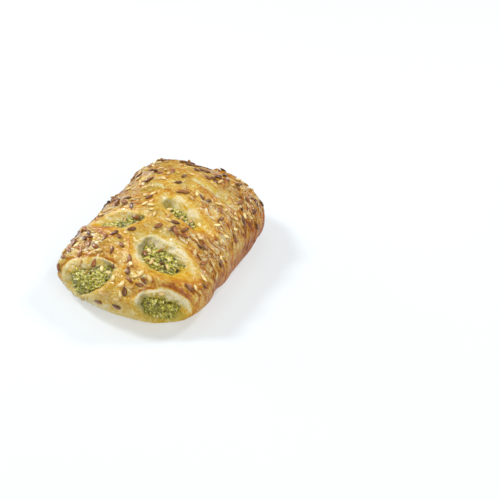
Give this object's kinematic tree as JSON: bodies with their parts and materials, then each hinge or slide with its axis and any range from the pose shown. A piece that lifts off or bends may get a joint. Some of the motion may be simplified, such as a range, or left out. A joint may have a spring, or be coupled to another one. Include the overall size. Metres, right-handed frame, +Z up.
{
  "type": "spinach feta puff pastry",
  "caption": "Baked pillow of puff pastry with two staggered columns of slots that show a spinach and feta filling, topped with linseed and sesame.",
  "frame": {"origin": "middle of the base, on the surface the pastry rests on", "axes": "+Z up, +Y along the pastry towards its higher end, +X across it"},
  "size_m": [0.0863, 0.1212, 0.0382],
  "materials": {
    "baked_dough": "egg-glazed golden baked puff pastry, browner at the rims and paler inside the slots",
    "spinach_filling": "moist, lumpy yellow-green filling with dark green leaf and pale cheese crumbs",
    "linseed": "smooth glossy reddish-brown seed coat",
    "sesame": "toasted ivory seed coat"
  },
  "bodies": {
    "root": {"pastry": "baked_dough", "filling": "spinach_filling"}
  },
  "joints": []
}
